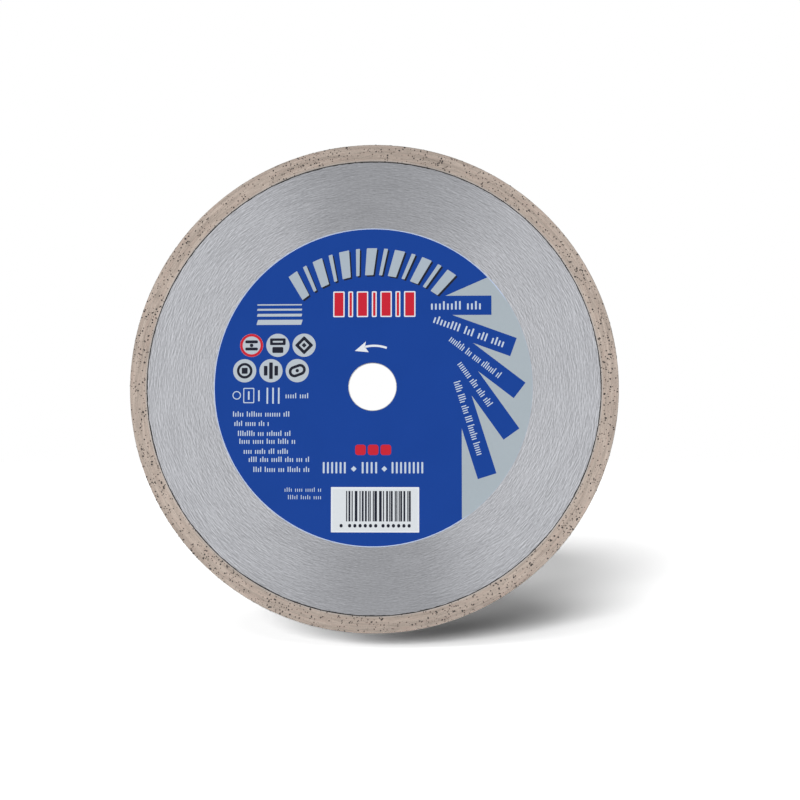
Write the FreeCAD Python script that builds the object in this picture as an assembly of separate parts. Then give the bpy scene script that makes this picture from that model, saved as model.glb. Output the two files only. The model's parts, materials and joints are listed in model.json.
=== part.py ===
# Continuous-rim diamond blade for cutting tile and ceramic, 230 x 2.3 x 22.23 mm.
#
# The blade stands on edge in its own frame. Its spin axis is the Y axis, the printed front looks along -Y,
# +Z is up and the origin is the middle of the bore, halfway through the steel core.
#
# What it is made of, from the middle out:
#   steel_core       ground steel disc with the bore; its edge is notched and runs on under the rim
#   bond_rim         sintered metal bond, pressed round the notched edge and standing proud of both core faces
#   edge_diamonds    diamond grains held in the cutting edge
#   front_diamonds   grains held in the front side face of the rim
#   back_diamonds    grains held in the back side face of the rim
#   label_film       round foil label stuck on the front of the core
#   label_print      blue ink coat on that film, with a fan of strips on its right
import FreeCAD
import Part

import math
import os

Vector = FreeCAD.Vector
Rotation = FreeCAD.Rotation

# Sizes of the whole blade, in mm.
blade_diameter = 230.0      # over the bond at the cutting edge
rim_width = 2.3             # over the rim's two side faces
rim_height = 8.0            # radial height of the rim that shows beside the core
core_thickness = 1.6
bore_diameter = 22.23

# Small bevels, all at 45 degrees.
bore_bevel = 0.2            # both ends of the bore
rim_edge_bevel = 0.2        # the two corners of the cutting edge
rim_lip_bevel = 0.2         # inner corners of the lips that lap onto the core

# Keyed joint: the core's edge is turned down and runs on under the lips, and bond fills round notches that
# are wider inside than at their mouth, so the rim can't be pulled off.
key_depth = 2.4             # how far the core runs on past the lips' inner edge
key_relief = 0.1            # how much the turned-down edge is thinner, on each side
notch_radius = 1.1
notch_inset = 0.6           # from the core's edge in to the middle of a notch
notch_pitch = 8.0           # along the core's edge

# Diamond grains, seated in pockets of their own shape.
grain_size = 0.45           # from tip to opposite tip
grain_pitch = 6.0           # along the rim, in each of the three bands
grain_clearance = 0.2       # least bond between a grain and the core, a corner or the next band
side_grain_proud = 0.02     # grains on the ground side faces
edge_grain_proud = 0.05     # grains on the dressed cutting edge
grain_lean = 14.0           # largest lean of a grain's axis from the surface's normal, degrees

# Label.
label_diameter = 150.0
film_thickness = 0.08
film_hole_margin = 0.1      # film stops this far outside the bore's bevel
print_thickness = 0.02
print_margin = 0.4          # bare film outside the print

# Fan of printed strips, each with its middle line at the same distance from the fan's centre. X is to the
# right and Z up, seen from the front.
fan_centre_x = 6.5
fan_centre_z = 8.5
fan_offset = 29.75          # from the fan's centre to each strip's middle line
fan_turns = (0.0, 20.0, 37.5, 54.5, 72.5)   # degrees, clockwise from level, one for each strip
strip_width = 9.1
strip_reach = 49.4          # from the foot of the offset to the end of the first strip
strip_growth = 3.2          # each strip reaches this much further than the one before
fan_top_slope = 23.5        # rise of the print's edge above the first strip, degrees
fan_top_start = 27.8        # from the foot of the first strip's offset to where that edge starts
field_edge_x = 41.8         # upright edge of the print below the last strip

# Sizes that follow from those above.
blade_radius = blade_diameter / 2
bore_radius = bore_diameter / 2
core_half = core_thickness / 2
key_half = core_half - key_relief
rim_half = rim_width / 2
lip_radius = blade_radius - rim_height
core_radius = lip_radius + key_depth
film_hole_radius = bore_radius + bore_bevel + film_hole_margin
print_radius = label_diameter / 2 - print_margin
film_front = -(core_half + film_thickness)
print_front = film_front - print_thickness
golden = (math.sqrt(5) - 1) / 2     # spreads grains evenly with no visible rows


def turned(outline):
    """Solid of revolution about the blade's axis, from (radius, y) corners."""
    corners = [Vector(radius, y, 0) for radius, y in outline]
    face = Part.Face(Part.makePolygon(corners + corners[:1]))
    return face.revolve(Vector(0, 0, 0), Vector(0, 1, 0), 360)


def around(radius, pitch):
    """Evenly spaced angles about the blade's axis, close to one pitch apart at this radius."""
    count = max(3, round(2 * math.pi * radius / pitch))
    return [2 * math.pi * step / count for step in range(count)]


def make_steel_core():
    disc = turned([
        (bore_radius + bore_bevel, -core_half),
        (lip_radius, -core_half),
        (lip_radius, -key_half),
        (core_radius, -key_half),
        (core_radius, key_half),
        (lip_radius, key_half),
        (lip_radius, core_half),
        (bore_radius + bore_bevel, core_half),
        (bore_radius, core_half - bore_bevel),
        (bore_radius, -core_half + bore_bevel),
    ])
    reach = core_radius - notch_inset
    notches = [
        Part.makeCylinder(
            notch_radius,
            2 * key_half,
            Vector(reach * math.cos(angle), -key_half, reach * math.sin(angle)),
            Vector(0, 1, 0),
        )
        for angle in around(core_radius, notch_pitch)
    ]
    return disc.cut(Part.makeCompound(notches))


def make_rim_blank():
    return turned([
        (lip_radius, -rim_half + rim_lip_bevel),
        (lip_radius + rim_lip_bevel, -rim_half),
        (blade_radius - rim_edge_bevel, -rim_half),
        (blade_radius, -rim_half + rim_edge_bevel),
        (blade_radius, rim_half - rim_edge_bevel),
        (blade_radius - rim_edge_bevel, rim_half),
        (lip_radius + rim_lip_bevel, rim_half),
        (lip_radius, rim_half - rim_lip_bevel),
    ])


def make_octahedron():
    """One grain about the origin, with its tips on the three axes."""
    tip = grain_size / 2
    faces = []
    for x in (-tip, tip):
        for y in (-tip, tip):
            for z in (-tip, tip):
                corners = [Vector(x, 0, 0), Vector(0, y, 0), Vector(0, 0, z)]
                faces.append(Part.Face(Part.makePolygon(corners + corners[:1])))
    return Part.makeSolid(Part.makeShell(faces))


def seated_grain(blank, number, surface, outward, proud):
    """A grain whose tip stands proud of the surface point, turned and leaned by its place in the row."""
    twist = 360 * ((number * golden) % 1)
    lean = grain_lean * ((number * golden * golden) % 1)
    turn = Rotation(Vector(0, 1, 0), outward) * Rotation(Vector(0, 1, 0), twist)
    turn = turn * Rotation(Vector(1, 0, 0), lean)
    centre = surface - outward * (grain_size / 2 - proud)
    grain = blank.copy()
    grain.Placement = FreeCAD.Placement(centre, turn)
    return grain


def make_side_diamonds(side):
    """Grains of one side face: side is -1 at the front and 1 at the back."""
    blank = make_octahedron()
    inner = core_radius + grain_clearance + grain_size / 2
    outer = blade_radius - grain_size - grain_clearance - grain_size / 2
    grains = []
    for number, angle in enumerate(around((inner + outer) / 2, grain_pitch)):
        radius = inner + (outer - inner) * ((number * golden) % 1)
        surface = Vector(radius * math.cos(angle), side * rim_half, radius * math.sin(angle))
        grains.append(seated_grain(blank, number, surface, Vector(0, side, 0), side_grain_proud))
    return Part.makeCompound(grains)


def make_edge_diamonds():
    blank = make_octahedron()
    reach = rim_half - rim_edge_bevel - grain_clearance - grain_size / 2
    grains = []
    for number, angle in enumerate(around(blade_radius, grain_pitch)):
        outward = Vector(math.cos(angle), 0, math.sin(angle))
        surface = outward * blade_radius
        surface.y = reach * (2 * ((number * golden) % 1) - 1)
        grains.append(seated_grain(blank, number, surface, outward, edge_grain_proud))
    return Part.makeCompound(grains)


def make_label_film():
    return turned([
        (film_hole_radius, -core_half),
        (label_diameter / 2, -core_half),
        (label_diameter / 2, film_front),
        (film_hole_radius, film_front),
    ])


def strip_frame(index):
    """(foot, along, across) of one strip of the fan; across points to its upper side."""
    angle = -math.radians(fan_turns[index])
    along = Vector(math.cos(angle), 0, math.sin(angle))
    across = Vector(-math.sin(angle), 0, math.cos(angle))
    foot = Vector(fan_centre_x, 0, fan_centre_z) + across * fan_offset
    return foot, along, across


def crossing(point_a, along_a, point_b, along_b):
    """Where two lines in the label's plane cross."""
    gap = point_b - point_a
    turn = along_a.x * along_b.z - along_a.z * along_b.x
    return point_a + along_a * ((gap.x * along_b.z - gap.z * along_b.x) / turn)


def flat_plate(corners):
    """Plate with the print's thickness, laid on the front of the film."""
    lift = Vector(0, film_front, 0)
    ring = [corner + lift for corner in corners + corners[:1]]
    return Part.Face(Part.makePolygon(ring)).extrude(Vector(0, -print_thickness, 0))


def make_label_print():
    field = turned([
        (film_hole_radius, film_front),
        (print_radius, film_front),
        (print_radius, print_front),
        (film_hole_radius, print_front),
    ])
    half_width = strip_width / 2
    far = 2 * label_diameter

    # The bare window right of the field: in from the rim above the first strip, down the inner ends of the
    # wedges between strips, and straight down from the last one.
    foot, along, across = strip_frame(0)
    top_start = foot + along * fan_top_start + across * half_width
    slope = math.radians(fan_top_slope)
    window = [top_start + Vector(math.cos(slope), 0, math.sin(slope)) * far, top_start]
    lower_edge = foot - across * half_width
    for index in range(1, len(fan_turns)):
        foot, next_along, across = strip_frame(index)
        window.append(crossing(lower_edge, along, foot + across * half_width, next_along))
        lower_edge, along = foot - across * half_width, next_along
    window.append(crossing(lower_edge, along, Vector(field_edge_x, 0, 0), Vector(0, 0, -1)))
    window.append(Vector(field_edge_x, 0, -far))
    window.append(Vector(far, 0, -far))
    field = field.cut(flat_plate(window))

    strips = []
    for index in range(len(fan_turns)):
        foot, along, across = strip_frame(index)
        end = foot + along * (strip_reach + strip_growth * index)
        side = across * half_width
        strips.append(flat_plate([foot + side, end + side, end - side, foot - side]))
    return field.fuse(strips).removeSplitter()


steel_core = make_steel_core()
edge_diamonds = make_edge_diamonds()
front_diamonds = make_side_diamonds(-1)
back_diamonds = make_side_diamonds(1)
bond_rim = make_rim_blank().cut([steel_core, edge_diamonds, front_diamonds, back_diamonds])

nodes = {
    "steel_core": steel_core,
    "bond_rim": bond_rim,
    "edge_diamonds": edge_diamonds,
    "front_diamonds": front_diamonds,
    "back_diamonds": back_diamonds,
    "label_film": make_label_film(),
    "label_print": make_label_print(),
}

os.makedirs("parts", exist_ok=True)
for name, shape in nodes.items():
    shape.exportStep("parts/" + name + ".step")
    print(name, "solids", len(shape.Solids), "volume", round(shape.Volume, 3), "valid", shape.isValid())
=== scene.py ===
import json
import math

import bpy
import numpy as np
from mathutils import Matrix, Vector


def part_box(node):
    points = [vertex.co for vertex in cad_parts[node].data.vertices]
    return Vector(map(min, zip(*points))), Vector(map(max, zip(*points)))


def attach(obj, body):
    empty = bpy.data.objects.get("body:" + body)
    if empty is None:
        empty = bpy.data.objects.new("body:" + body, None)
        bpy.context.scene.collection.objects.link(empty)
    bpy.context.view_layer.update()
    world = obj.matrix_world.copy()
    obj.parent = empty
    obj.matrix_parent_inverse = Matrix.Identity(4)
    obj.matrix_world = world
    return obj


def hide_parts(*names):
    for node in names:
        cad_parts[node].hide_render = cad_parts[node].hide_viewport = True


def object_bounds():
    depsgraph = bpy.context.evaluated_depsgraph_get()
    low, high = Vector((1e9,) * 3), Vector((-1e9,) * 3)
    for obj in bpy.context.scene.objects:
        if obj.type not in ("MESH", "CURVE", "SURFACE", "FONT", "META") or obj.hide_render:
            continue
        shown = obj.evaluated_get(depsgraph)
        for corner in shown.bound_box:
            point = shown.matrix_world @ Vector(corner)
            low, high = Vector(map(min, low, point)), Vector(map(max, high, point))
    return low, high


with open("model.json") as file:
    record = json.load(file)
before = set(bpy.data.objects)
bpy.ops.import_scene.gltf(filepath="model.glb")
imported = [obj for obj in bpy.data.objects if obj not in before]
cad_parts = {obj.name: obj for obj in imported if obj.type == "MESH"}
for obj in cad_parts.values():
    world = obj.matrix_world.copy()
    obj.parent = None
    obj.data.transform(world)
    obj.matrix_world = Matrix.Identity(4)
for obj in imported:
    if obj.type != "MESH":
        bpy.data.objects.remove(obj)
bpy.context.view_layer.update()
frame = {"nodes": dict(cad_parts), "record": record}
print("frame loaded:", ", ".join(sorted(frame["nodes"])))

mm = 0.001


# Coordinates from arrays that are brought to one shape: the last axis counts them.
def joined(*parts):
    return np.stack(np.broadcast_arrays(*parts), axis=-1)


# Sizes read from the frame, in metres. The front of the blade looks along -Y.
bore = next(mount for mount in frame["record"]["mounts"] if mount["name"] == "bore")
boreRadius = bore["dims"]["r_mm"] * mm
coreRadius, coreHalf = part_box("steel_core")[1].xy
rimRadius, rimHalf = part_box("bond_rim")[1].xy
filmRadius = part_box("label_film")[1].x
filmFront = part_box("label_film")[0].y
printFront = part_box("label_print")[0].y

rimHeight = 8.0 * mm
lipRadius = rimRadius - rimHeight  # where the rim starts beside the core
keyRelief = 0.1 * mm  # the core's edge is thinner by this on each side, under the rim
keyHalf = coreHalf - keyRelief


# Quads between the neighbouring points of a grid, numbered row by row. Its last column joins its first, and
# where it is closed its last row does too.
def gridQuads(rows, columns, closed=True):
    here = np.arange(rows * columns).reshape(rows, columns)
    beside = np.roll(here, -1, axis=1)
    quads = joined(here, beside, np.roll(beside, -1, axis=0), np.roll(here, -1, axis=0))
    return (quads if closed else quads[:-1]).reshape(-1, 4)


# One mesh object from points (n, 3) and faces (m, corners), smooth up to the sharp angle, or flat if none.
def putPiece(name, points, faces, material, sharpAngle=None):
    mesh = bpy.data.meshes.new(name)
    mesh.from_pydata(points, [], faces, shade_flat=sharpAngle is None)
    mesh.validate()
    if sharpAngle is not None:
        mesh.set_sharp_from_angle(angle=math.radians(sharpAngle))
    mesh.materials.append(material)
    piece = bpy.data.objects.new(name, mesh)
    bpy.context.scene.collection.objects.link(piece)
    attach(piece, "root")
    return piece


# Piece from points (rows, columns, 3), closed both round the section and round the blade.
def putRing(name, points, material, sharpAngle, flip=False):
    faces = gridQuads(*points.shape[:2])
    faces = faces[:, ::-1] if flip else faces
    return putPiece(name, points.reshape(-1, 3), faces, material, sharpAngle)


# Profile points (radius, y) along the straight sides between the corners, in equal steps close to each pitch.
def filledProfile(corners, pitches):
    sides = []
    for index, pitch in enumerate(pitches):
        start = np.array(corners[index])
        side = np.array(corners[(index + 1) % len(corners)]) - start
        steps = max(1, int(round(np.linalg.norm(side) / pitch)))
        sides.append(start + np.linspace(0, 1, steps, endpoint=False)[:, None] * side)
    return np.concatenate(sides)


# Both halves of a profile that is the same in front and behind, from its front half.
def bothSides(front):
    return front + [(radius, -height) for radius, height in reversed(front)]


# Points at radius r, height y and angle a about the Y axis: (r cos a, y, r sin a).
def aboutAxis(radius, height, angle):
    return joined(radius * np.cos(angle), height, radius * np.sin(angle))


# Ring turned about the Y axis from profile points (radius, y), at even steps of angle.
def turnedPoints(profile, columns):
    return aboutAxis(profile[:, :1], profile[:, 1:], np.arange(columns) * (2 * np.pi / columns))


# Share from 0 to 1 that starts and ends softly: its square times (3 - 2 * share).
def eased(share):
    return share * share * (3 - 2 * share)


# Smooth random height from -1 to 1: random values on a lattice that closes round the blade, blended both ways
# by eased shares.
def unevenness(turns, across, cellsRound, cellSize, seed):
    chance = np.random.default_rng(seed)
    row = (across - across.min()) / cellSize
    column = turns * cellsRound
    lattice = chance.uniform(-1, 1, (int(row.max()) + 2, cellsRound))
    rowStart = np.floor(row).astype(int)
    columnStart = np.floor(column).astype(int)
    upward = eased(row - rowStart)
    onward = eased(column - columnStart)
    left = columnStart % cellsRound
    right = (columnStart + 1) % cellsRound
    low = lattice[rowStart, left] * (1 - onward) + lattice[rowStart, right] * onward
    high = lattice[rowStart + 1, left] * (1 - onward) + lattice[rowStart + 1, right] * onward
    return low * (1 - upward) + high * upward


# One shader node with its settings. Its inputs are values, colours or sockets to link from.
def addNode(tree, kind, inputs=None, **settings):
    made = tree.nodes.new(kind)
    for key, value in settings.items():
        setattr(made, key, value)
    for name, value in (inputs or {}).items():
        socket = made.inputs[name]
        if isinstance(value, bpy.types.NodeSocket):
            tree.links.new(value, socket)
        else:
            socket.default_value = (*value, 1) if socket.type == "RGBA" else value
    return made


# The operation's result on one to three numbers.
def addMath(tree, operation, *values, clamp=False):
    inputs = dict(enumerate(values))
    return addNode(tree, "ShaderNodeMath", inputs, operation=operation, use_clamp=clamp).outputs[0]


# Sum of two numbers, each times its own share.
def addShares(tree, first, firstShare, second, secondShare):
    return addMath(tree, "MULTIPLY_ADD", first, firstShare, addMath(tree, "MULTIPLY", second, secondShare))


# Goes from low to high as the value goes from start to end, and no further.
def addRamp(tree, value, start, end, low=0.0, high=1.0, interpolation="LINEAR"):
    inputs = {0: value, 1: start, 2: end, 3: low, 4: high}
    return addNode(tree, "ShaderNodeMapRange", inputs, interpolation_type=interpolation).outputs[0]


# Blends the first colour into the second as the factor goes from 0 to 1.
def addColours(tree, factor, first, second):
    return addNode(tree, "ShaderNodeMix", {0: factor, 6: first, 7: second}, data_type="RGBA").outputs[2]


# Smooth noise from 0 to 1 with its middle at 0.5. A larger scale is finer. The finishes give noise as scale,
# detail and, where it isn't 0.5, roughness.
def addNoise(tree, vector, scale, detail, roughness=0.5):
    inputs = {"Vector": vector, "Scale": scale, "Detail": detail, "Roughness": roughness}
    return addNode(tree, "ShaderNodeTexNoise", inputs).outputs["Fac"]


# The emptied node tree of a material or a world.
def startTree(owner):
    owner.use_nodes = True
    owner.node_tree.nodes.clear()
    return owner.node_tree


# Starts a material: its tree, and the position that every pattern reads.
def startMaterial(name):
    material = bpy.data.materials.new(name)
    tree = startTree(material)
    return material, tree, addNode(tree, "ShaderNodeTexCoord").outputs["Object"]


# Ends a material: its shader gets the finish's own values and these patterns, and its surface rises by the
# finish's bump, in metres, as the height goes from 0 to 1.
def endMaterial(material, look, height, patterns):
    tree = material.node_tree
    bump = addNode(tree, "ShaderNodeBump", {"Height": height, "Distance": look["bump"], "Strength": 1.0})
    inputs = {**look["shader"], **patterns, "Normal": bump.outputs[0]}
    shader = addNode(tree, "ShaderNodeBsdfPrincipled", inputs)
    addNode(tree, "ShaderNodeOutputMaterial", {"Surface": shader.outputs[0]})
    return material


# A vector's parts along X and Z, and the length of those two together.
def addFlat(tree, vector):
    parts = addNode(tree, "ShaderNodeSeparateXYZ", {0: vector}).outputs
    flat = addNode(tree, "ShaderNodeCombineXYZ", {0: parts[0], 2: parts[2]}).outputs[0]
    return parts[0], parts[2], addNode(tree, "ShaderNodeVectorMath", {0: flat}, operation="LENGTH").outputs[1]


# Position about a line along Y through the centre (x, z): the unit direction (cos, sin) seen from there, and
# the distance from it.
def addPolar(tree, place, centre=(0.0, 0.0)):
    inputs = {0: place, 1: (centre[0], 0.0, centre[1])}
    shifted = addNode(tree, "ShaderNodeVectorMath", inputs, operation="SUBTRACT").outputs[0]
    x, z, radius = addFlat(tree, shifted)
    return addMath(tree, "DIVIDE", x, radius), addMath(tree, "DIVIDE", z, radius), radius


# Streaks that run round: noise over (a cos, a sin, b r), so that a streak is r / a long and 1 / b wide. The
# finishes give streaks as a, b, detail and, where it isn't 0.5, roughness.
def addStreaks(tree, polar, around, across, detail, roughness=0.5):
    cosine, sine, radius = polar
    vector = addNode(tree, "ShaderNodeCombineXYZ", {
        0: addMath(tree, "MULTIPLY", cosine, around),
        1: addMath(tree, "MULTIPLY", sine, around),
        2: addMath(tree, "MULTIPLY", radius, across)}).outputs[0]
    return addNoise(tree, vector, 1.0, detail, roughness)


# Across the grinding marks, which is where they spread the shine: straight away from the bore.
def addTangent(tree, polar):
    cosine, sine = polar[:2]
    return addNode(tree, "ShaderNodeCombineXYZ", {0: cosine, 2: sine}).outputs[0]


groundSteel = {
    "dark": (0.38, 0.385, 0.407),
    "light": (0.67, 0.68, 0.718),
    "roughness": (0.41, 0.31),  # in the dark and in the light lines
    "shader": {"Metallic": 1.0, "Anisotropic": 0.95},
    "swing": 11 * mm,  # how far from the bore the grinding circles have their centres
    "swingTurns": (0.4, 2.5, 4.6),  # which way from it, in radians
    "marks": (22.0, 2500.0, 0.0),
    "marksStep": 0.44 * mm,
    "marksShare": 0.64,
    "hairs": (60.0, 5000.0, 2.0, 0.7),  # much finer lines that only show from close by
    "hairsShare": 1.6,
    "broad": (5.0, 150.0, 2.0),
    "broadShare": 0.32,
    "shift": -0.46,  # brings the sum of the three back to a middle tone
    "dimBandMarksShare": 0.46,  # painted shade: share of the marks' contrast that is left above and below the bore, where the metal mirrors the room's dim band
    "dimBandRange": (0.15, 0.7),  # sideways part of the direction where the contrast starts and stops growing out of the painted shade
    "bump": 0.0015 * mm,
}


# Three sets of grinding marks, each round a centre of its own, so that they cross at slight slopes. A mark is
# the streak here less the one a step further out, which leaves thin lines and no clouds. The tone is the sum
# of marks, hairs and broad streaks, each times its share. The marks' share is cut above and below the bore as
# painted shade, where the metal mirrors the room's dim band.
def makeGroundSteel():
    look = groundSteel
    material, tree, place = startMaterial("groundSteel")
    marks = 0.0
    for turn in look["swingTurns"]:
        centre = (look["swing"] * math.cos(turn), look["swing"] * math.sin(turn))
        cosine, sine, radius = addPolar(tree, place, centre)
        nextRadius = addMath(tree, "ADD", radius, look["marksStep"])
        here = addStreaks(tree, (cosine, sine, radius), *look["marks"])
        further = addStreaks(tree, (cosine, sine, nextRadius), *look["marks"])
        marks = addMath(tree, "ADD", marks, addMath(tree, "SUBTRACT", here, further))
    polar = addPolar(tree, place)
    # Painted shade: above and below the bore the marks show less, as they would in the dim band the metal
    # mirrors there.
    sideways = addMath(tree, "ABSOLUTE", polar[0])
    contrast = addRamp(tree, sideways, *look["dimBandRange"], look["dimBandMarksShare"], 1.0)
    contrast = addMath(tree, "MULTIPLY", contrast, look["marksShare"])
    broad = addStreaks(tree, polar, *look["broad"])
    hairs = addStreaks(tree, polar, *look["hairs"])
    tone = addMath(tree, "MULTIPLY_ADD", marks, contrast, look["shift"])
    tone = addMath(tree, "MULTIPLY_ADD", hairs, look["hairsShare"], tone)
    tone = addMath(tree, "MULTIPLY_ADD", broad, look["broadShare"], tone, clamp=True)
    return endMaterial(material, look, marks, {
        "Base Color": addColours(tree, tone, look["dark"], look["light"]),
        "Roughness": addRamp(tree, tone, 0.0, 1.0, *look["roughness"]),
        "Tangent": addTangent(tree, polar)})


bondMetal = {
    "dark": (0.350, 0.292, 0.250),
    "light": (0.635, 0.535, 0.462),
    "toneRange": (0.37, 0.63),
    "roughness": (0.56, 0.38),
    "shader": {"Metallic": 0.6, "Anisotropic": 0.8},
    "fine": (16.0, 2300.0, 2.0),
    "broad": (3.0, 500.0, 3.0),
    "grain": (2400.0, 3.0, 0.7),
    "grainShare": 0.35,
    "copper": (0.555, 0.435, 0.374),  # rosier streaks where the bond holds more copper
    "copperStreaks": (11.0, 1300.0, 2.0),
    "copperRange": (0.5, 0.62),
    "copperShare": 0.5,
    "lip": (0.62, 0.60, 0.58),  # painted highlight: lighter strip beside the core, where the lip's bevel catches the light
    "lipHighlightWidth": 0.7 * mm,
    "lipHighlightShare": 0.5,
    "edge": (0.30, 0.28, 0.26),  # greyer line at the cutting edge
    "edgeWidth": 0.35 * mm,
    "edgeShare": 0.6,
    "fade": 0.3,  # share of a strip's width where it starts to fade
    "pit": (0.10, 0.078, 0.066),
    "pitScale": 1000.0,
    "pitRange": (0.2, 0.4),  # distance from a cell's middle where a pit starts and stops fading
    "pitFrom": 0.8,  # share of the cells that have none
    "mixedBump": 0.4,
    "bump": 0.04 * mm,
}


# Sintered bond: fine and broad streaks in equal shares with grain over them, then copper streaks, a painted
# highlight along the lip beside the core, a greyer strip along the cutting edge, and pits in the few cells
# whose random number is high.
def makeBondMetal():
    look = bondMetal
    material, tree, place = startMaterial("bondMetal")
    polar = addPolar(tree, place)
    radius = polar[2]
    fine = addStreaks(tree, polar, *look["fine"])
    broad = addStreaks(tree, polar, *look["broad"])
    grain = addNoise(tree, place, *look["grain"])
    mixed = addShares(tree, broad, 0.5, fine, 0.5)
    mixed = addShares(tree, grain, look["grainShare"], mixed, 1 - look["grainShare"])
    tone = addRamp(tree, mixed, *look["toneRange"])
    colour = addColours(tree, tone, look["dark"], look["light"])
    copper = addStreaks(tree, polar, *look["copperStreaks"])
    copper = addRamp(tree, copper, *look["copperRange"], 0.0, look["copperShare"])
    colour = addColours(tree, copper, colour, look["copper"])
    # Painted highlight: the strip along the lip is lighter, as the bevel there would catch the light.
    width, fade = look["lipHighlightWidth"], look["fade"]
    lip = addRamp(tree, radius, lipRadius + fade * width, lipRadius + width, look["lipHighlightShare"], 0.0)
    colour = addColours(tree, lip, colour, look["lip"])
    width = look["edgeWidth"]
    edge = addRamp(tree, radius, rimRadius - width, rimRadius - fade * width, 0.0, look["edgeShare"])
    colour = addColours(tree, edge, colour, look["edge"])
    cells = addNode(tree, "ShaderNodeTexVoronoi", {"Vector": place, "Scale": look["pitScale"]}).outputs
    chance = addNode(tree, "ShaderNodeSeparateColor", {0: cells["Color"]}).outputs[0]
    near = addRamp(tree, cells["Distance"], *look["pitRange"], 1.0, 0.0)
    pit = addMath(tree, "MULTIPLY", near, addMath(tree, "GREATER_THAN", chance, look["pitFrom"]))
    height = addMath(tree, "SUBTRACT", addMath(tree, "MULTIPLY", mixed, look["mixedBump"]), pit)
    return endMaterial(material, look, height, {
        "Base Color": addColours(tree, pit, colour, look["pit"]),
        "Roughness": addRamp(tree, tone, 0.0, 1.0, *look["roughness"]),
        "Tangent": addTangent(tree, polar)})


diamondGrit = {
    "dark": (0.005, 0.004, 0.004),
    "light": (0.060, 0.047, 0.040),
    "tone": (900.0, 3.0),
    "shader": {"Roughness": 0.32, "IOR": 1.6},
    "bumps": (6000.0, 2.0),
    "bump": 0.01 * mm,
}


# Dark crystal: its colour follows slow noise, its bumps a much finer one.
def makeDiamondGrit():
    look = diamondGrit
    material, tree, place = startMaterial("diamondGrit")
    tone = addNoise(tree, place, *look["tone"])
    return endMaterial(material, look, addNoise(tree, place, *look["bumps"]), {
        "Base Color": addColours(tree, tone, look["dark"], look["light"])})


# Dark joint line: partly the joint's own metal, partly painted shade in the corner between core and lip.
jointMetalAndShade = {
    "dark": (0.006, 0.005, 0.005),
    "light": (0.055, 0.052, 0.05),
    "streaks": (60.0, 900.0, 3.0),
    "shader": {"Metallic": 0.7, "Roughness": 0.5, "Anisotropic": 0.5},
    "bump": 0.03 * mm,
}


# Dark metal whose colour and bumps both follow streaks that run round. Its near-black colour is partly the
# joint's own dark metal and partly painted shade in the corner beside the lip.
def makeJointMetalAndShade():
    look = jointMetalAndShade
    material, tree, place = startMaterial("jointMetalAndShade")
    polar = addPolar(tree, place)
    tone = addStreaks(tree, polar, *look["streaks"])
    return endMaterial(material, look, tone, {
        "Base Color": addColours(tree, tone, look["dark"], look["light"]),
        "Tangent": addTangent(tree, polar)})


silverFoil = {
    "dark": (0.362, 0.421, 0.461),
    "light": (0.423, 0.477, 0.517),
    "roughness": (0.5, 0.38),
    "shader": {"Metallic": 0.35},
    "mottle": (1800.0, 3.0, 0.6),
    "cloud": (28.0, 2.0),
    "margin": (0.50, 0.59, 0.79),  # bare film outside the print
    "marginWidth": 0.42 * mm,
    "openMiddle": -10,  # the margin is fainter at the window, degrees from the right
    "openHalf": 44,
    "openFade": 0.03,  # in radians
    "openShare": 0.15,
    "bump": 0.006 * mm,
}


# Foil: mottle and clouds in equal shares, and a paler margin that is faint where the cosine of the angle from
# the window's middle is large.
def makeSilverFoil():
    look = silverFoil
    material, tree, place = startMaterial("silverFoil")
    cosine, sine, radius = addPolar(tree, place)
    mottle = addNoise(tree, place, *look["mottle"])
    cloud = addNoise(tree, place, *look["cloud"])
    tone = addShares(tree, cloud, 0.5, mottle, 0.5)
    colour = addColours(tree, tone, look["dark"], look["light"])
    middle = math.radians(look["openMiddle"])
    half = math.radians(look["openHalf"])
    fade = look["openFade"]
    facing = addShares(tree, cosine, math.cos(middle), sine, math.sin(middle))
    share = addRamp(tree, facing, math.cos(half + fade), math.cos(half - fade), 1.0, look["openShare"])
    outside = addMath(tree, "GREATER_THAN", radius, filmRadius - look["marginWidth"])
    margin = addMath(tree, "MULTIPLY", share, outside)
    return endMaterial(material, look, mottle, {
        "Base Color": addColours(tree, margin, colour, look["margin"]),
        "Roughness": addRamp(tree, mottle, 0.0, 1.0, *look["roughness"])})


# Inks: colour, how much it is mottled, and roughness.
inks = {
    "blueInk": ((0.0090, 0.0485, 0.265), 0.12, 0.42),
    "whiteInk": ((0.71, 0.74, 0.78), 0.05, 0.42),
    "panelInk": ((0.64, 0.672, 0.70), 0.05, 0.42),
    "paleInk": ((0.50, 0.58, 0.68), 0.05, 0.42),
    "silverInk": ((0.37, 0.43, 0.49), 0.06, 0.36),
    "discInk": ((0.44, 0.49, 0.54), 0.06, 0.36),
    "redInk": ((0.515, 0.0195, 0.036), 0.06, 0.42),
    "blackInk": ((0.010, 0.012, 0.022), 0.10, 0.42),
}
inkFilm = {
    "shader": {"Specular IOR Level": 0.15},
    "dots": (5200.0, 1.0),  # the press's dots, which show from close by
    "cloud": (45.0, 3.0),
    "roughnessSpread": 0.06,
    "bump": 0.004 * mm,
}


# Ink on foil: darker to lighter with dots and clouds in equal shares.
def makeInk(name, colour, mottled, roughness):
    look = inkFilm
    material, tree, place = startMaterial(name)
    dots = addNoise(tree, place, *look["dots"])
    cloud = addNoise(tree, place, *look["cloud"])
    tone = addShares(tree, dots, 0.5, cloud, 0.5)
    dark = tuple(channel * (1 - mottled) for channel in colour)
    light = tuple(channel * (1 + mottled) for channel in colour)
    spread = look["roughnessSpread"]
    return endMaterial(material, look, dots, {
        "Base Color": addColours(tree, tone, dark, light),
        "Roughness": addRamp(tree, cloud, 0.0, 1.0, roughness + spread, roughness - spread)})


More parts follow.
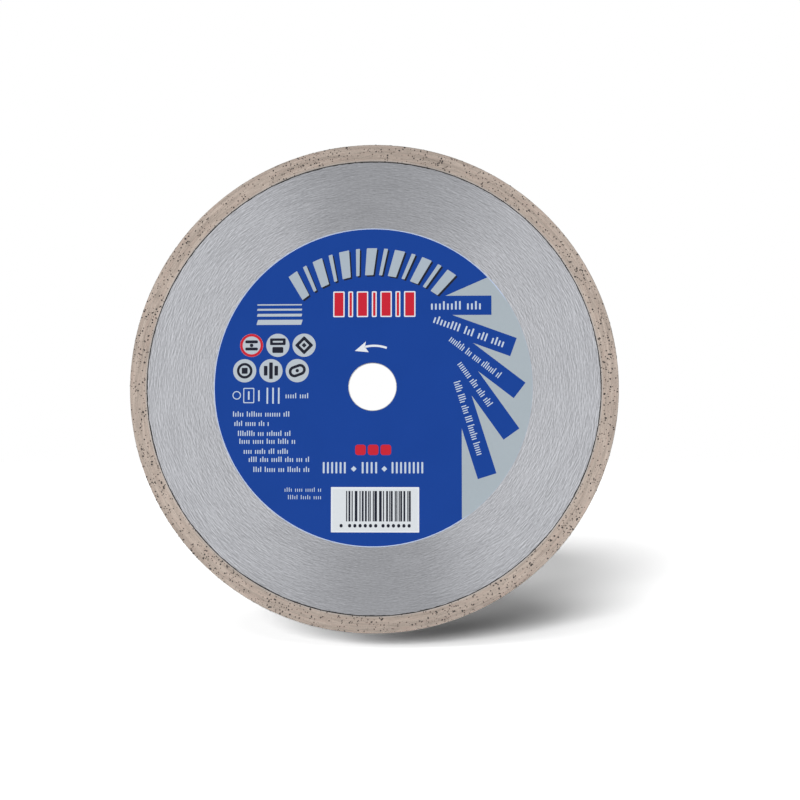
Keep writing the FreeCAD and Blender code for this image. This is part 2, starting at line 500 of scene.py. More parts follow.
steelFinish = makeGroundSteel()
bondFinish = makeBondMetal()
gritFinish = makeDiamondGrit()
jointAndShadeFinish = makeJointMetalAndShade()
foilFinish = makeSilverFoil()
inkFinishes = {name: makeInk(name, *settings) for name, settings in inks.items()}
print("finishes made")


steelDisc = {
    "bevel": 0.2 * mm,
    "columns": 720,
    "facePitch": 6 * mm,
    "sharpAngle": 20,
}


# Turned disc with bevels at the bore and a thinner edge, which runs on under the rim.
def makeSteelDisc():
    look = steelDisc
    bevel, pitch = look["bevel"], look["facePitch"]
    corners = bothSides([
        (coreRadius, -keyHalf), (lipRadius, -keyHalf), (lipRadius, -coreHalf),
        (boreRadius + bevel, -coreHalf), (boreRadius, -coreHalf + bevel)])
    side = [pitch, bevel, pitch, bevel]
    profile = filledProfile(corners, [*side, coreHalf, *reversed(side), coreHalf])
    points = turnedPoints(profile, look["columns"])
    piece = putRing("steelDisc", points, steelFinish, look["sharpAngle"])
    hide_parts("steel_core")


makeSteelDisc()
print("steel core made")


bondRim = {
    "lipBevel": 0.2 * mm,
    "edgeBevel": 0.25 * mm,
    "columns": 1560,
    "pitch": 0.34 * mm,
    "hiddenPitch": 2 * mm,
    "sharpAngle": 35,
    "waves": (720, 1.0 * mm, 1),  # cells round the blade, a cell's size across, seed
    "ripples": (1500, 0.5 * mm, 2),
    "ripplesShare": 0.6,
    "nibbles": (900, 1.2 * mm, 3),  # grains torn out of the cutting edge
    "nibblesFrom": 0.55,
    "nibblesDepth": 2.2,
    "faceUneven": 0.012 * mm,
    "edgeUneven": 0.09 * mm,
    "edgeShare": 0.3,
    "edgeZone": 1.0 * mm,
}


# Turned ring whose lips lap onto the core's edge. Its side faces sink by the unevenness, and its outer zone
# moves inward by the unevenness and by what of the nibbles is above their threshold.
def makeBondRim():
    look = bondRim
    lip, edge, pitch, hidden = look["lipBevel"], look["edgeBevel"], look["pitch"], look["hiddenPitch"]
    corners = bothSides([
        (rimRadius, -rimHalf + edge), (rimRadius - edge, -rimHalf), (lipRadius + lip, -rimHalf),
        (lipRadius, -rimHalf + lip), (lipRadius, -keyHalf), (coreRadius, -keyHalf)])
    side = [edge / 2, pitch, lip, lip, hidden]
    profile = filledProfile(corners, [*side, hidden, *reversed(side), pitch])
    points = turnedPoints(profile, look["columns"])
    turns = np.arange(look["columns"]) / look["columns"] + 0 * profile[:, :1]
    steps = np.linalg.norm(np.diff(profile, axis=0), axis=1)
    along = np.concatenate([[0], np.cumsum(steps)])[:, None] + 0 * turns
    share = look["ripplesShare"]
    waves, ripples, nibbles = (
        unevenness(turns, along, *look[each]) for each in ("waves", "ripples", "nibbles"))
    sunk = waves + share * ripples + 1 + share  # never below 0
    torn = np.clip(nibbles - look["nibblesFrom"], 0, 1) * look["nibblesDepth"]
    radius, height = profile[:, :1], profile[:, 1:]
    outer = np.clip((radius - (rimRadius - look["edgeZone"])) / look["edgeZone"], 0, 1)
    shown = np.clip((radius - lipRadius - lip) / mm, 0, 1)
    inward = look["edgeUneven"] * outer * (look["edgeShare"] * sunk / (1 + share) + torn)
    points[..., [0, 2]] *= (1 - inward / radius)[..., None]
    sideFaces = np.sign(height) * (np.abs(height) > coreHalf + lip)
    points[..., 1] -= sideFaces * shown * look["faceUneven"] * sunk
    piece = putRing("bondRim", points, bondFinish, look["sharpAngle"])
    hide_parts("bond_rim")


makeBondRim()
print("bond rim made")


grains = {
    "sideCount": 1040,
    "edgeCount": 520,
    "smallest": 0.22 * mm,  # half the width
    "largest": 0.66 * mm,
    "mostlySmall": 1.6,  # power of the random number that picks the size
    "cornerPull": (0.7, 1.0),
    "stretch": (0.75, 1.15),
    "flatness": 0.35,  # ground faces leave a grain this thick for its width
    "sunk": 0.25,  # share of the flattened half thickness by which its middle is sunk
    "tries": 6,  # draws for each grain that is kept
    "crowds": ((90, 7, 1.0), (31, 8, 0.6)),  # clusters round the blade, seed, share
    "keptLeast": 0.25,
    "keptMore": 0.22,
    "fromLip": 0.6 * mm,
    "fromEdge": 0.4 * mm,
    "fromFace": 0.1 * mm,
    "edgeSunk": 0.03 * mm,
}


# Corners and faces of an icosahedron: the cyclic turns of (0, +-1, +-golden ratio), with a face wherever
# three corners are neighbours, which are 2 apart.
def icosahedron():
    golden = (1 + 5 ** 0.5) / 2
    base = np.array([(0, side, end * golden) for side in (-1, 1) for end in (-1, 1)])
    corners = np.concatenate([base, base[:, [2, 0, 1]], base[:, [1, 2, 0]]])
    near = np.linalg.norm(corners[:, None] - corners[None], axis=-1) < 2.1
    first, second, third = np.meshgrid(*[np.arange(12)] * 3, indexing="ij")
    rising = (first < second) & (second < third)
    ring = near[first, second] & near[second, third] & near[first, third] & rising
    faces = joined(first[ring], second[ring], third[ring])
    start, middle, end = (corners[faces[:, number]] for number in range(3))
    outward = np.einsum("ij,ij->i", np.cross(middle - start, end - start), start)
    faces[outward < 0] = faces[outward < 0][:, ::-1]
    return corners / np.linalg.norm(corners[0]), faces


# Random turns of space, each from two random directions made square to each other.
def randomTurns(chance, count):
    first = chance.normal(size=(count, 3))
    first /= np.linalg.norm(first, axis=1, keepdims=True)
    second = np.cross(first, chance.normal(size=(count, 3)))
    second /= np.linalg.norm(second, axis=1, keepdims=True)
    return np.stack([first, second, np.cross(first, second)], axis=1)


# Broken crystals: icosahedra whose corners are pulled in at random, then stretched, turned, flattened along
# their outward direction and set in place.
def makeGrains(name, node, places, outward, seed):
    chance = np.random.default_rng(seed)
    count = len(places)
    corners, faces = icosahedron()
    spread = grains["largest"] - grains["smallest"]
    half = grains["smallest"] + spread * chance.random((count, 1, 1)) ** grains["mostlySmall"]
    pulled = corners * chance.uniform(*grains["cornerPull"], (count, 12, 1))
    shape = pulled * chance.uniform(*grains["stretch"], (count, 1, 3))
    shape = np.einsum("nij,nkj->nki", randomTurns(chance, count), shape) * half
    lift = np.einsum("nki,ni->nk", shape, outward)[..., None]
    shape = shape - (1 - grains["flatness"]) * lift * outward[:, None]
    middles = places[:, None] - outward[:, None] * half * grains["flatness"] * grains["sunk"]
    points = (middles + shape).reshape(-1, 3)
    faces = (faces[None] + 12 * np.arange(count)[:, None, None]).reshape(-1, 3)
    piece = putPiece(name, points, faces, gritFinish)
    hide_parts(node)


# Angles in loose clusters: many even draws, kept with a chance that rises and falls round the blade.
def clusteredAngles(chance, count):
    turns = chance.random(count * grains["tries"])
    crowd = sum(share * unevenness(turns, 0 * turns, clusters, 1.0, seed)
                for clusters, seed, share in grains["crowds"])
    kept = turns[chance.random(len(turns)) < grains["keptLeast"] + grains["keptMore"] * (crowd + 1)]
    return 2 * np.pi * kept[:count]


# Grains in one side face: even draws of the radius, side -1 in front and 1 behind.
def makeSideGrains(name, node, side, seed):
    chance = np.random.default_rng(seed)
    angle = clusteredAngles(chance, grains["sideCount"])
    radius = chance.uniform(lipRadius + grains["fromLip"], rimRadius - grains["fromEdge"], len(angle))
    outward = np.tile([0.0, side, 0.0], (len(angle), 1))
    makeGrains(name, node, aboutAxis(radius, side * rimHalf, angle), outward, seed + 1)


# Grains in the cutting edge: even draws of the height between the two faces.
def makeEdgeGrains(name, node, seed):
    chance = np.random.default_rng(seed)
    angle = clusteredAngles(chance, grains["edgeCount"])
    height = chance.uniform(-1, 1, len(angle)) * (rimHalf - grains["fromFace"])
    places = aboutAxis(rimRadius - grains["edgeSunk"], height, angle)
    makeGrains(name, node, places, aboutAxis(1.0, 0.0, angle), seed + 1)


makeSideGrains("frontGrains", "front_diamonds", -1, 11)
makeSideGrains("backGrains", "back_diamonds", 1, 21)
makeEdgeGrains("edgeGrains", "edge_diamonds", 31)
print("diamond grains made")


jointAndShadeLine = {
    "width": 0.5 * mm,
    "height": 0.14 * mm,
    "sunk": 0.01 * mm,
    "section": [(1.0, 0.0), (0.0, 0.0), (0.0, 1.0), (0.35, 0.45)],  # shares of the width and the height
    "wanders": ((260, 41, 0.25), (900, 44, 0.15)),  # bends round the blade, seed, share of the width
    "columns": 1440,
    "sharpAngle": 25,
}


# Fillet in the corner between core and lip: a section carried round, whose width wanders with the angle. Its
# dark colour is partly the joint itself and partly painted shade in that corner.
def makeJointAndShadeLine(name, side):
    look = jointAndShadeLine
    turns = np.arange(look["columns"])[None, :] / look["columns"]
    (slow, slowSeed, slowShare), (quick, quickSeed, quickShare) = look["wanders"]
    wander = 1 + slowShare * unevenness(turns, 0 * turns, slow, 1.0, slowSeed + side)
    wander = wander + quickShare * unevenness(turns, 0 * turns, quick, 1.0, quickSeed)
    reach, lift = np.array(look["section"]).T[..., None]
    radius = lipRadius + look["sunk"] - look["width"] * reach * wander
    height = side * (coreHalf - look["sunk"] + look["height"] * lift)
    points = aboutAxis(radius, height, 2 * np.pi * turns)
    putRing(name, points, jointAndShadeFinish, look["sharpAngle"], flip=side > 0)


makeJointAndShadeLine("frontJointAndShadeLine", -1)
makeJointAndShadeLine("backJointAndShadeLine", 1)
print("joint lines made")


labelFoil = {
    "holeMargin": 0.3 * mm,
    "columns": 720,
    "facePitch": 6 * mm,
    "sharpAngle": 30,
}


# Turned foil between the core's front and the film's front.
def makeLabelFoil():
    pitch = labelFoil["facePitch"]
    inner = boreRadius + labelFoil["holeMargin"]
    corners = [(filmRadius, filmFront), (inner, filmFront), (inner, -coreHalf), (filmRadius, -coreHalf)]
    points = turnedPoints(filledProfile(corners, [pitch, mm, pitch, mm]), labelFoil["columns"])
    piece = putRing("labelFoil", points, foilFinish, labelFoil["sharpAngle"])
    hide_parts("label_film")


makeLabelFoil()
coatMaterials = frame["nodes"]["label_print"].data.materials
coatMaterials.clear()
coatMaterials.append(inkFinishes["blueInk"])
print("label made")


# Prints are given in millimetres from the bore, across to the right and up.
inkDepth = 0.01 * mm


# Heights of a layer's front and back. Layer 0 lies on the blue coat, each further one is an ink depth higher,
# and all are sunk a fifth of it into what they lie on.
def layerHeights(layer):
    front = printFront - inkDepth * (layer + 1)
    return front, front + 1.2 * inkDepth


# Rounded rectangles about (0, 0), one per row, as (marks, points, 2): each quarter is an arc, moved out to
# its corner, with its points at the middles of equal steps, so that no two arcs share one.
def roundedOutlines(halfWidth, halfHeight, corner, steps=5):
    quarter = np.repeat(np.arange(4), steps)
    turn = quarter * np.pi / 2 + np.tile(np.arange(steps) + 0.5, 4) * (np.pi / 2 / steps)
    right = np.array([1, -1, -1, 1])[quarter]
    upper = np.array([1, 1, -1, -1])[quarter]
    halfWidth, halfHeight, corner = (np.atleast_1d(size)[:, None] for size in (halfWidth, halfHeight, corner))
    across = (halfWidth - corner) * right + corner * np.cos(turn)
    up = (halfHeight - corner) * upper + corner * np.sin(turn)
    return joined(across, up)


# Outlines leaned sideways by slant times their height, turned and moved to their centres.
def placed(outlines, centres, degrees=0.0, slant=0.0):
    across, up = outlines[..., 0], outlines[..., 1]
    across = across + slant * up
    turn = np.radians(np.atleast_1d(degrees))[:, None]
    return joined(centres[:, :1] + across * np.cos(turn) - up * np.sin(turn),
                  centres[:, 1:] + across * np.sin(turn) + up * np.cos(turn))


# Outlines bent round the bore: across becomes an arc, up becomes radius. Degrees count from the right.
def wrapped(outlines, radius, degrees, slant):
    across = outlines[..., 0] + slant * outlines[..., 1]
    angle = np.radians(degrees)[:, None] - across / radius
    reach = radius + outlines[..., 1]
    return joined(reach * np.cos(angle), reach * np.sin(angle))


# Thin plates of ink: a fan of triangles from the middle of each outline in front, another behind, and two
# triangles for each step of the wall between them.
def putInk(name, outlines, layer, ink):
    count, steps = outlines.shape[:2]
    flat = outlines * mm
    middle = flat.mean(axis=1, keepdims=True)
    flat = np.concatenate([middle, flat, flat, middle], axis=1)
    height = np.repeat(layerHeights(layer), 1 + steps)
    points = joined(flat[..., 0], height, flat[..., 1])
    here = 1 + np.arange(steps)
    after = np.roll(here, -1)
    last = 1 + 2 * steps
    one = np.hstack([
        [0 * here, here, after], [here, here + steps, after + steps], [here, after + steps, after],
        [0 * here + last, after + steps, here + steps]]).T
    faces = (one + (last + 1) * np.arange(count)[:, None, None]).reshape(-1, 3)
    putPiece(name, points.reshape(-1, 3), faces, inkFinishes[ink])


# Marks from rows of half width, half height, corner, place across, place up and turn in degrees.
def putMarks(name, rows, layer, ink, steps=5):
    halfWidth, halfHeight, corner, across, up, degrees = np.array(rows, float).T
    outlines = roundedOutlines(halfWidth, halfHeight, corner, steps)
    putInk(name, placed(outlines, joined(across, up), degrees), layer, ink)


strokes = {
    "groups": (4, 9),  # fewest strokes from gap to gap, and one more than the most
    "heights": [0.72, 1.0],
    "chances": [0.6, 0.4],
}


# Upright strokes in place of small print, from left to right on a base line: after every few one is left out,
# and most are lower than the rest. Gives outlines about (0, 0) and centres.
def strokesOf(chance, left, right, base, height, stroke, pitch):
    count = int((right - left) / pitch)
    across = left + (np.arange(count) + 0.5) * (right - left) / count
    gaps = np.cumsum(chance.integers(*strokes["groups"], count))
    across = across[~np.isin(np.arange(count), gaps)]
    tall = height * chance.choice(strokes["heights"], len(across), p=strokes["chances"])
    outlines = roundedOutlines(stroke / 2, tall / 2, stroke / 4, 2)
    return outlines, joined(across, base + tall / 2)


arcBars = {
    "radius": 59.2,
    "halfHeight": 6.4,
    "first": 126.0,  # degrees from the right
    "last": 56.0,
    "wide": 2.2,  # half widths
    "narrow": 0.85,
    "pairs": 6,
    "slant": 0.12,
    "corner": 0.3,
    "shadow": (0.75, -0.7),
}


# Silver bars, wide and narrow in turn, at even steps of angle round the top, with a dark edge.
def makeArcBars():
    look = arcBars
    count = 2 * look["pairs"] + 1
    degrees = np.linspace(look["first"], look["last"], count)
    halfWidths = np.where(np.arange(count) % 2 == 0, look["wide"], look["narrow"])
    outlines = roundedOutlines(halfWidths, look["halfHeight"], look["corner"])
    bars = wrapped(outlines, look["radius"], degrees, look["slant"])
    putInk("arcBarShadows", bars + np.array(look["shadow"]), 0, "blackInk")
    putInk("arcBars", bars, 1, "silverInk")


redBlocks = {
    "left": -18.6,
    "up": 39.0,
    "halfHeight": 6.1,
    "widths": (5.4, 2.3, 5.4, 2.3, 5.4, 2.3, 5.4),
    "gap": 1.72,
    "coats": [  # name, how far in from the edge, corner, layer and ink
        ("redBlockBorders", 0.0, 0.5, 0, "whiteInk"),
        ("redBlocks", 0.55, 0.25, 1, "redInk")],
}


# Red blocks with pale borders, each of which starts one gap after the one before it.
def makeRedBlocks():
    look = redBlocks
    widths = np.array(look["widths"])
    across = look["left"] + np.cumsum(widths + look["gap"]) - look["gap"] - widths / 2
    for name, inset, corner, layer, ink in look["coats"]:
        outlines = roundedOutlines(widths / 2 - inset, look["halfHeight"] - inset, corner)
        putInk(name, placed(outlines, joined(across, look["up"])), layer, ink)


stripeBlock = {
    "across": -44.0,
    "heights": (38.9, 36.6, 34.0, 30.6),
    "halfHeights": (0.3, 0.45, 0.65, 1.2),
    "halfWidth": 10.6,
    "corner": 0.2,
    "slant": 0.3,
}


# Level stripes with slanted ends, the lowest the thickest.
def makeStripeBlock():
    look = stripeBlock
    centres = joined(look["across"], look["heights"])
    outlines = roundedOutlines(look["halfWidth"], look["halfHeights"], look["corner"])
    putInk("stripeBlock", placed(outlines, centres, slant=look["slant"]), 0, "discInk")


# Six pale discs in two rows, with plain figures on them, as (disc, half width, half height, corner, right,
# up, degrees).
discs = {
    "rows": [(19.7, -57.2), (7.7, -60.4)],  # height, first disc's place across
    "pitch": 12.45,
    "rounds": [  # name, radius, on how many discs, layer and ink
        ("paleDiscs", 5.5, 6, 0, "discInk"),
        ("redRing", 5.45, 1, 1, "redInk"),
        ("redRingMiddle", 4.25, 1, 2, "discInk")],
    "dark": [
        (0, 3.0, 0.7, 0.6, 0.0, 1.7, 0), (0, 3.0, 0.7, 0.6, 0.0, -1.7, 0), (0, 0.85, 0.85, 0.85, 0.0, 0.0, 0),
        (1, 3.7, 1.6, 0.5, 0.0, 1.7, 0), (1, 2.6, 1.4, 0.5, 0.0, -2.2, 0),
        (2, 3.1, 3.1, 0.5, 0.0, 0.0, 45),
        (3, 3.7, 3.7, 3.7, 0.0, 0.0, 0),
        (4, 0.85, 2.3, 0.3, -2.5, 0.0, 0), (4, 0.85, 3.9, 0.3, 0.0, 0.0, 0), (4, 0.85, 2.3, 0.3, 2.5, 0.0, 0),
        (5, 4.1, 2.7, 2.7, 0.0, 0.0, 20)],
    "light": [
        (1, 2.4, 0.4, 0.2, 0.0, 1.7, 0), (2, 1.7, 1.7, 0.3, 0.0, 0.0, 45), (3, 2.5, 2.5, 2.5, 0.0, 0.0, 0),
        (5, 2.8, 1.4, 1.4, 0.0, 0.0, 20)],
    "middle": [
        (2, 0.85, 0.85, 0.1, 0.0, 0.0, 45), (3, 1.4, 1.4, 0.3, 0.0, 0.0, 0), (5, 0.8, 0.8, 0.8, 0.0, 0.0, 0)],
}


# A disc is a rounded square whose corner is its radius. A figure's place is its disc's centre plus its own.
def makeDiscs():
    look = discs
    centres = [(first + step * look["pitch"], up) for up, first in look["rows"] for step in range(3)]
    for name, radius, count, layer, ink in look["rounds"]:
        putMarks(name, [(radius, radius, radius, *centre, 0) for centre in centres[:count]], layer, ink, 12)
    for name, layer, ink in (("dark", 3, "blackInk"), ("light", 4, "discInk"), ("middle", 5, "blackInk")):
        rows = [(*sizes, centres[disc][0] + right, centres[disc][1] + up, degrees)
                for disc, *sizes, right, up, degrees in look[name]]
        putMarks(name + "Figures", rows, layer, ink, 8)


# Rows of strokes, as (left, right, middle height), with height, stroke and pitch for each group.
smallLines = {
    "rows": [
        (-66.1, -38.9, -12.7), (-65.4, -48.6, -17.1), (-63.7, -37.3, -21.8), (-63.0, -36.1, -25.5),
        (-60.9, -39.5, -30.2), (-58.5, -29.5, -34.0), (-56.3, -29.4, -38.7), (-41.3, -30.0, -4.1)],
    "lines": (2.5, 0.5, 1.05),
    "lowRows": [(-41.5, -23.8, -48.2), (-39.9, -23.8, -51.7)],
    "lowLines": (2.0, 0.36, 0.95),
    "seed": 51,
}


# Each row is filled with strokes on a base line half their height below its middle.
def makeSmallLines():
    look = smallLines
    chance = np.random.default_rng(look["seed"])
    marks = []
    for rows, lines in (("rows", "lines"), ("lowRows", "lowLines")):
        height, stroke, pitch = look[lines]
        for left, right, up in look[rows]:
            marks.append(placed(*strokesOf(chance, left, right, up - height / 2, height, stroke, pitch)))
    putInk("smallLines", np.concatenate(marks), 0, "paleInk")


# Plain small figures in a row under the discs, as (half width, half height, corner, across, up, degrees).
smallFigures = {
    "frames": [(2.0, 2.0, 2.0, -64.1, -3.9, 0), (2.6, 3.6, 0.5, -58.4, -4.0, 0)],
    "holes": [(1.55, 1.55, 1.55, -64.1, -3.9, 0), (2.15, 3.15, 0.3, -58.4, -4.0, 0)],
    "barSize": (0.38, 0.2),  # half width, corner
    "bars": [  # half height, across, up
        (2.0, -58.4, -4.0), (2.6, -53.6, -4.1), (3.8, -49.6, -4.1), (3.8, -46.9, -4.1), (3.8, -44.2, -4.1)],
}


# Frames in pale ink, their holes in blue on top, and bars on top of those.
def makeSmallFigures():
    look = smallFigures
    halfWidth, corner = look["barSize"]
    putMarks("smallFigures", look["frames"], 0, "paleInk", 8)
    putMarks("smallFigureHoles", look["holes"], 1, "blueInk", 8)
    bars = [(halfWidth, halfHeight, corner, across, up, 0) for halfHeight, across, up in look["bars"]]
    putMarks("smallBars", bars, 2, "paleInk")


redStuds = {
    "size": (2.5, 2.45, 1.3),  # half width, half height, corner
    "across": (-5.6, 0.35, 6.3),
    "up": -29.6,
}


# A row of rounded studs below the bore.
def makeRedStuds():
    look = redStuds
    putMarks("redStuds", [(*look["size"], across, look["up"], 0) for across in look["across"]], 0, "redInk")


sizeMarks = {
    "groups": [(-23.3, -12.5), (-5.0, 2.2), (9.0, 23.8)],
    "low": -40.6,
    "height": 5.3,
    "stroke": 0.88,
    "pitch": 1.95,
    "corner": 0.3,
    "dots": (-8.75, 5.6),
    "dotSize": (0.95, 0.95, 0.2),  # half width, half height, corner
    "dotUp": 0.4,  # share of the strokes' height
}


# Strokes at even steps that fill three groups from end to end, with a small turned mark between them.
def makeSizeMarks():
    look = sizeMarks
    half, height = look["stroke"] / 2, look["height"] / 2
    rows = []
    for left, right in look["groups"]:
        count = int(round((right - left) / look["pitch"]))
        rows += [(half, height, look["corner"], across, look["low"] + height, 0)
                 for across in np.linspace(left + half, right - half, count)]
    dotUp = look["low"] + look["dotUp"] * look["height"]
    rows += [(*look["dotSize"], across, dotUp, 45) for across in look["dots"]]
    putMarks("sizeMarks", rows, 0, "paleInk")


barPanel = {
    "panel": (20.65, 10.55, 0.2, 1.25, -57.55),  # half width, half height, corner, across, up
    "border": 0.7,
    "bars": 23,
    "barsLeft": -12.2,
    "barsRight": 19.0,
    "barsUp": -55.9,
    "barHalfHeight": 7.1,
    "barCorner": 0.02,
    "steps": [0.42, 0.84, 1.26],  # widths and gaps, before they are stretched to fill the row
    "chances": [0.5, 0.32, 0.18],
    "spread": 0.08,  # ink that runs past each side of a bar
    "seed": 61,
    "dots": [(-14.6, -14.6, 1), (-10.6, 1.6, 6), (5.0, 17.2, 6)],  # first, last, how many
    "dotsUp": -65.0,
    "dotSize": (0.75, 0.85, 0.75),  # half width, half height, corner
}


# A pale panel of upright bars over a row of dots. Every second of a row of random steps is a bar.
def makeBarPanel():
    look = barPanel
    chance = np.random.default_rng(look["seed"])
    width, height, *rest = look["panel"]
    border = look["border"]
    putMarks("barPanelEdge", [(width, height, *rest, 0)], 0, "whiteInk")
    putMarks("barPanel", [(width - border, height - border, *rest, 0)], 1, "panelInk")
    steps = chance.choice(look["steps"], 2 * look["bars"], p=look["chances"])
    edges = np.concatenate([[0], np.cumsum(steps)])
    edges = look["barsLeft"] + edges / edges[-1] * (look["barsRight"] - look["barsLeft"])
    low, high = edges[0:-1:2], edges[1::2]
    bars = roundedOutlines((high - low) / 2 + look["spread"], look["barHalfHeight"], look["barCorner"], 2)
    putInk("bars", placed(bars, joined((low + high) / 2, look["barsUp"])), 2, "blackInk")
    dots = np.concatenate([np.linspace(*run) for run in look["dots"]])
    putMarks("barDots", [(*look["dotSize"], dot, look["dotsUp"], 0) for dot in dots], 2, "blackInk")


turnArrow = {
    "tip": (-8.3, 16.9),
    "upperWing": (-3.1, 21.4),
    "lowerWing": (-1.8, 16.3),
    "notch": (-3.6, 18.8),
    "bend": (1.5, 20.1),
    "end": (6.7, 18.3),
    "halfWidth": 0.5,
    "rings": 13,
}


# Arrow that shows which way the blade turns: a swallow-tailed head, and a shaft whose four-cornered section
# is carried along the curve (1-t)^2 notch + 2t(1-t) bend + t^2 end and closed at both ends.
def makeTurnArrow():
    look = {key: np.array(value, float) for key, value in turnArrow.items()}
    head = np.array([[look["tip"], look["lowerWing"], look["notch"], look["upperWing"]]])
    putInk("turnArrowHead", head, 0, "whiteInk")
    rings = turnArrow["rings"]
    t = np.linspace(0, 1, rings)[:, None]
    line = (1 - t) ** 2 * look["notch"] + 2 * t * (1 - t) * look["bend"] + t ** 2 * look["end"]
    along = np.gradient(line, axis=0)
    along /= np.linalg.norm(along, axis=1, keepdims=True)
    side = joined(-along[:, 1], along[:, 0]) * look["halfWidth"]
    flat = np.stack([line + side, line - side, line - side, line + side], axis=1) * mm
    height = np.repeat(layerHeights(0), 2)
    points = joined(flat[..., 0], height, flat[..., 1])
    ends = np.array([[3, 2, 1, 0], [0, 1, 2, 3]]) + [[0], [4 * (rings - 1)]]
    faces = np.concatenate([gridQuads(rings, 4, closed=False), ends])
    putPiece("turnArrowShaft", points.reshape(-1, 3), faces, inkFinishes["whiteInk"])


# Strokes along the fan's strips, as (start, end, height, stroke) from the foot of each strip's middle line.
fanMarks = {
    "centre": (6.5, 8.5),
    "offset": 29.75,
    "turns": (0.0, 20.0, 37.5, 54.5, 72.5),  # degrees, clockwise from level
    "rows": [
        (20.5, 46.8, 4.0, 0.85), (12.7, 50.0, 3.8, 0.8), (15.0, 44.6, 3.3, 0.5), (17.6, 42.5, 3.3, 0.5),
        (15.5, 51.9, 3.3, 0.5)],
    "pitch": 2.1,  # in strokes
    "seed": 71,
}


# A stroke's centre is the fan's, plus the offset across its strip, plus its own place along and across it.
def makeFanMarks():
    look = fanMarks
    chance = np.random.default_rng(look["seed"])
    marks = []
    for turn, (start, end, height, stroke) in zip(np.radians(look["turns"]), look["rows"]):
        along = np.array([math.cos(turn), -math.sin(turn)])
        across = np.array([math.sin(turn), math.cos(turn)])
        outlines, centres = strokesOf(chance, start, end, -height / 2, height, stroke, look["pitch"] * stroke)
        foot = np.array(look["centre"]) + look["offset"] * across
        middles = foot + centres[:, :1] * along + centres[:, 1:] * across
        marks.append(placed(outlines, middles, -math.degrees(turn)))
    putInk("fanMarks", np.concatenate(marks), 0, "paleInk")


makeArcBars()
makeRedBlocks()
makeStripeBlock()
makeDiscs()
makeSmallLines()
makeSmallFigures()
makeRedStuds()
makeSizeMarks()
makeBarPanel()
makeTurnArrow()
makeFanMarks()
print("prints made")


studio = {
    "cameraFrom": (2.2, -2.9),  # azimuth and elevation, in degrees
    "cameraDistance": 0.549,
    "cameraAim": (0.0129, 0.0, -0.0062),
    "lens": 52.6,
    "sensor": 36.0,
    "clip": (0.01, 200.0),
    "lamps": [  # azimuth, elevation, strength, how many degrees wide it looks
        (-11.6, 13.9, 2.54, 18.4),
        (-52.4, 18.8, 0.525, 16.1),
        (-3.1, 37.1, 0.368, 22.2)],
    "fill": 0.01,
    "darkGap": (0.28, 0.53),  # where the dim band above and below ends, as a share of the direction
    "gapLevel": 0.5,
    "floorGrey": 0.8,
    "floorWhite": 3.745,  # what the camera sees of the floor's colour
    "floorSize": 60.0,
    "floorGap": 8.5 * mm,  # the blade is held up this far above the floor
}


# Unit direction from the blade to azimuth a and elevation e: (sin a cos e, -cos a cos e, sin e).
def directionTo(azimuth, elevation):
    azimuth, elevation = math.radians(azimuth), math.radians(elevation)
    level = math.cos(elevation)
    return Vector((math.sin(azimuth) * level, -math.cos(azimuth) * level, math.sin(elevation)))


# Camera at its distance from the aim, looking back along the direction to it.
def makeCamera():
    camera = bpy.data.objects.new("camera", bpy.data.cameras.new("camera"))
    back = directionTo(*studio["cameraFrom"])
    camera.location = Vector(studio["cameraAim"]) + studio["cameraDistance"] * back
    camera.rotation_euler = back.to_track_quat("Z", "Y").to_euler()
    camera.data.lens = studio["lens"]
    camera.data.sensor_width = studio["sensor"]
    camera.data.clip_start, camera.data.clip_end = studio["clip"]
    bpy.context.scene.collection.objects.link(camera)
    bpy.context.scene.camera = camera


# Wide lamps far away, which aren't seen in the metal.
def makeLamps():
    for azimuth, elevation, strength, softness in studio["lamps"]:
        lamp = bpy.data.lights.new("lamp", "SUN")
        lamp.energy = strength
        lamp.angle = math.radians(softness)
        holder = bpy.data.objects.new("lamp", lamp)
        holder.rotation_euler = directionTo(azimuth, elevation).to_track_quat("Z", "Y").to_euler()
        holder.visible_glossy = False
        bpy.context.scene.collection.objects.link(holder)


# The first value, or the second where the camera sees it, straight or through glass.
def addSeen(tree, path, hidden, seen):
    straight = addMath(tree, "MAXIMUM", path["Is Camera Ray"], path["Is Transmission Ray"])
    return addRamp(tree, straight, 0.0, 1.0, hidden, seen)


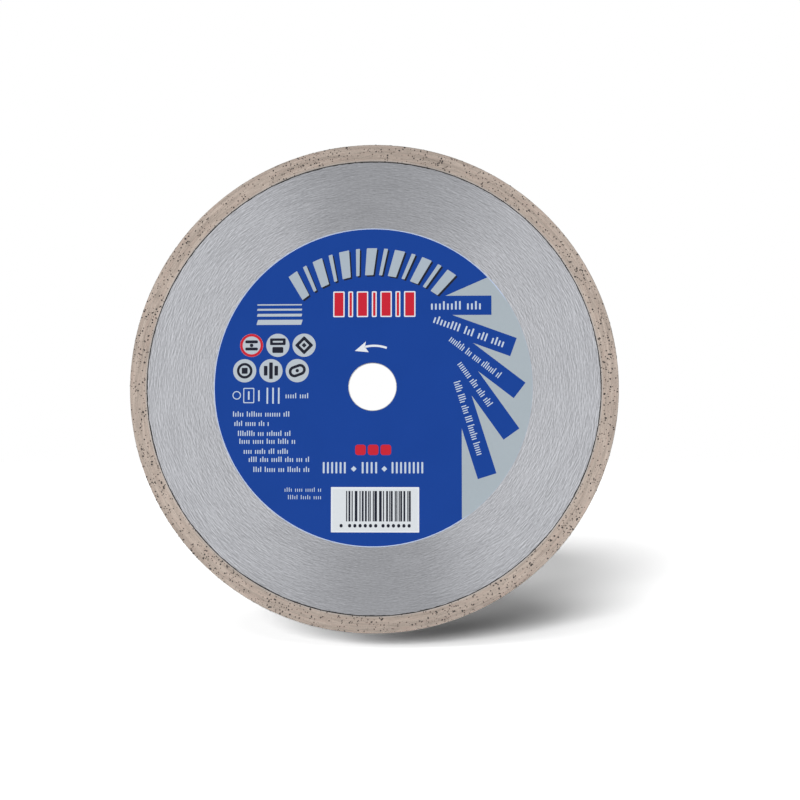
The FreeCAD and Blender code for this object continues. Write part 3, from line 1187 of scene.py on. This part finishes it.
# White room for the camera and for reflections, with a dimmer band above and below the blade, and a weak even
# fill for all other light. What the blade would mirror onto the floor is fill too, so the shadow stays deep.
def makeRoom():
    world = bpy.data.worlds.new("room")
    bpy.context.scene.world = world
    tree = startTree(world)
    path = addNode(tree, "ShaderNodeLightPath").outputs
    x, length = addFlat(tree, addNode(tree, "ShaderNodeTexCoord").outputs["Generated"])[::2]
    length = addMath(tree, "MAXIMUM", length, 0.0001)  # never 0, straight ahead
    sideways = addMath(tree, "DIVIDE", addMath(tree, "ABSOLUTE", x), length)
    screens = addRamp(tree, sideways, *studio["darkGap"], studio["gapLevel"], 1.0, "SMOOTHSTEP")
    direct = addMath(tree, "LESS_THAN", path["Diffuse Depth"], 0.5)
    mirrored = addMath(tree, "MULTIPLY", path["Is Glossy Ray"], direct)
    level = addSeen(tree, path, addRamp(tree, mirrored, 0.0, 1.0, studio["fill"], screens), 1.0)
    background = addNode(tree, "ShaderNodeBackground", {"Color": (1, 1, 1), "Strength": level})
    addNode(tree, "ShaderNodeOutputWorld", {0: background.outputs[0]})


# Floor just under the blade, which doesn't stand on it. Where the lamps reach it, the camera sees it white.
def makeFloor():
    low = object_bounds()[0].z - studio["floorGap"]
    half = studio["floorSize"] / 2
    mesh = bpy.data.meshes.new("floor")
    corners = [(-half, -half, low), (half, -half, low), (half, half, low), (-half, half, low)]
    mesh.from_pydata(corners, [], [(0, 1, 2, 3)])
    floor = bpy.data.objects.new("floor", mesh)
    bpy.context.scene.collection.objects.link(floor)
    material = bpy.data.materials.new("floorPaint")
    tree = startTree(material)
    path = addNode(tree, "ShaderNodeLightPath").outputs
    white = addSeen(tree, path, studio["floorGrey"], studio["floorWhite"])
    colour = addNode(tree, "ShaderNodeCombineColor", {0: white, 1: white, 2: white}).outputs[0]
    paint = addNode(tree, "ShaderNodeBsdfDiffuse", {"Color": colour})
    addNode(tree, "ShaderNodeOutputMaterial", {"Surface": paint.outputs[0]})
    mesh.materials.append(material)
    floor.visible_glossy = False


makeCamera()
makeLamps()
makeRoom()
makeFloor()
bpy.context.scene.view_settings.view_transform = "Standard"
print("studio made")
